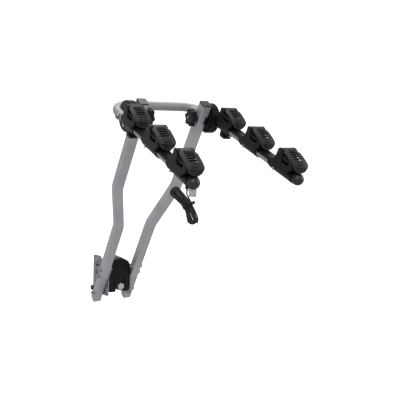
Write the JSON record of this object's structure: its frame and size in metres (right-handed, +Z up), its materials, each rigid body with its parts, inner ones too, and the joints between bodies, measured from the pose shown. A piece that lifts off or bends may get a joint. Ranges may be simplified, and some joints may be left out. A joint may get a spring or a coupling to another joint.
{
  "type": "tow ball bicycle rack",
  "caption": "Hanging bicycle rack for a tow ball: two bent square legs, folding U-shaped arms, cradles with rubber straps, clamp coupling under a hood.",
  "frame": {"origin": "centre of the tow ball that the coupling grips", "axes": "+Z up along the ball's axis, +Y towards the car, +X to the rack's right seen from behind the car"},
  "size_m": [0.3777, 0.9538, 0.7537],
  "materials": {
    "leg_paint": "silver grey enamel",
    "arm_paint": "silver enamel",
    "black_plastic": "moulded, fine grain",
    "cap_plastic": "moulded",
    "rubber": "moulded rubber",
    "zinc": "zinc plated",
    "steel": "bright steel",
    "dark_steel": "blackened steel",
    "cord": "woven"
  },
  "bodies": {
    "frame": {"left_leg": "leg_paint", "right_leg": "leg_paint", "leg_caps": "cap_plastic", "left_side_plate": "zinc", "right_side_plate": "zinc", "leg_bolts": "zinc", "leg_washers": "zinc", "leg_nuts": "zinc", "fixed_jaw": "dark_steel", "screw_bridge": "dark_steel", "guide_rods": "dark_steel", "jaw_bolts": "zinc", "jaw_nuts": "zinc", "rubber_buffers": "rubber", "coupling_hood": "black_plastic", "hood_screws": "zinc", "left_toothed_disc": "black_plastic", "right_toothed_disc": "black_plastic", "hub_washers": "zinc"},
    "front_jaw": {"moving_jaw": "dark_steel"},
    "screw": {"clamp_screw": "steel"},
    "left_hand_knob": {"left_knob": "black_plastic", "left_knob_nut": "steel"},
    "right_hand_knob": {"right_knob": "black_plastic", "right_knob_nut": "steel"},
    "buckle_lever": {"buckle_cam": "steel"},
    "left_inner_band": {"left_inner_strap": "rubber"},
    "left_middle_band": {"left_middle_strap": "rubber"},
    "left_outer_band": {"left_outer_strap": "rubber"},
    "right_inner_band": {"right_inner_strap": "rubber"},
    "right_middle_band": {"right_middle_strap": "rubber"},
    "right_outer_band": {"right_outer_strap": "rubber"},
    "arms": {"left_arm_drum": "black_plastic", "right_arm_drum": "black_plastic", "left_hub_bolt": "zinc", "right_hub_bolt": "zinc", "saddle_washers": "zinc", "drum_screws": "zinc", "arm_tube": "arm_paint", "end_caps": "cap_plastic", "strap_pins": "dark_steel", "cradle_rivets": "steel", "frame_hooks": "black_plastic", "safety_cord": "cord", "cord_hank": "cord", "cord_tie": "black_plastic", "buckle_body": "steel", "buckle_pin": "steel", "left_inner_cradle": "black_plastic", "left_inner_sling": "rubber", "left_middle_cradle": "black_plastic", "left_middle_sling": "rubber", "left_outer_cradle": "black_plastic", "left_outer_sling": "rubber", "right_inner_cradle": "black_plastic", "right_inner_sling": "rubber", "right_middle_cradle": "black_plastic", "right_middle_sling": "rubber", "right_outer_cradle": "black_plastic", "right_outer_sling": "rubber"}
  },
  "joints": [
    {"name": "arms_fold", "type": "hinge", "parent": "frame", "child": "arms", "pos_m": [0, -0.42479, 0.6212], "axis": [1, 0, 0], "range_deg": [-55, 104]},
    {"name": "left_knob_turn", "type": "hinge", "parent": "arms", "child": "left_hand_knob", "pos_m": [-0.074, -0.42479, 0.6212], "axis": [1, 0, 0], "continuous": true},
    {"name": "right_knob_turn", "type": "hinge", "parent": "arms", "child": "right_hand_knob", "pos_m": [0.074, -0.42479, 0.6212], "axis": [1, 0, 0], "continuous": true},
    {"name": "jaw_slide", "type": "slide", "parent": "frame", "child": "front_jaw", "axis": [0, -1, 0], "range_m": [0, 0.016]},
    {"name": "screw_turn", "type": "hinge", "parent": "front_jaw", "child": "screw", "pos_m": [0, -0.06, -0.005], "axis": [0, -1, 0], "range_deg": [0, 1440]},
    {"name": "buckle_lever_lift", "type": "hinge", "parent": "arms", "child": "buckle_lever", "pos_m": [-0.15206, -0.83014, 0.47209], "axis": [-0.8625, 0.506, 0], "range_deg": [0, 70]},
    {"name": "left_inner_strap_open", "type": "hinge", "parent": "arms", "child": "left_inner_band", "pos_m": [-0.1546, -0.50731, 0.64825], "axis": [-1, 0, 0], "range_deg": [0, 110]},
    {"name": "left_middle_strap_open", "type": "hinge", "parent": "arms", "child": "left_middle_band", "pos_m": [-0.1546, -0.65506, 0.60308], "axis": [-1, 0, 0], "range_deg": [0, 110]},
    {"name": "left_outer_strap_open", "type": "hinge", "parent": "arms", "child": "left_outer_band", "pos_m": [-0.1546, -0.80281, 0.55791], "axis": [-1, 0, 0], "range_deg": [0, 110]},
    {"name": "right_inner_strap_open", "type": "hinge", "parent": "arms", "child": "right_inner_band", "pos_m": [0.1546, -0.50731, 0.64825], "axis": [-1, 0, 0], "range_deg": [0, 110]},
    {"name": "right_middle_strap_open", "type": "hinge", "parent": "arms", "child": "right_middle_band", "pos_m": [0.1546, -0.65506, 0.60308], "axis": [-1, 0, 0], "range_deg": [0, 110]},
    {"name": "right_outer_strap_open", "type": "hinge", "parent": "arms", "child": "right_outer_band", "pos_m": [0.1546, -0.80281, 0.55791], "axis": [-1, 0, 0], "range_deg": [0, 110]}
  ],
  "couplings": [
    {"joint": "screw_turn", "follows": "jaw_slide", "rad_per_m": 1570.8}
  ]
}
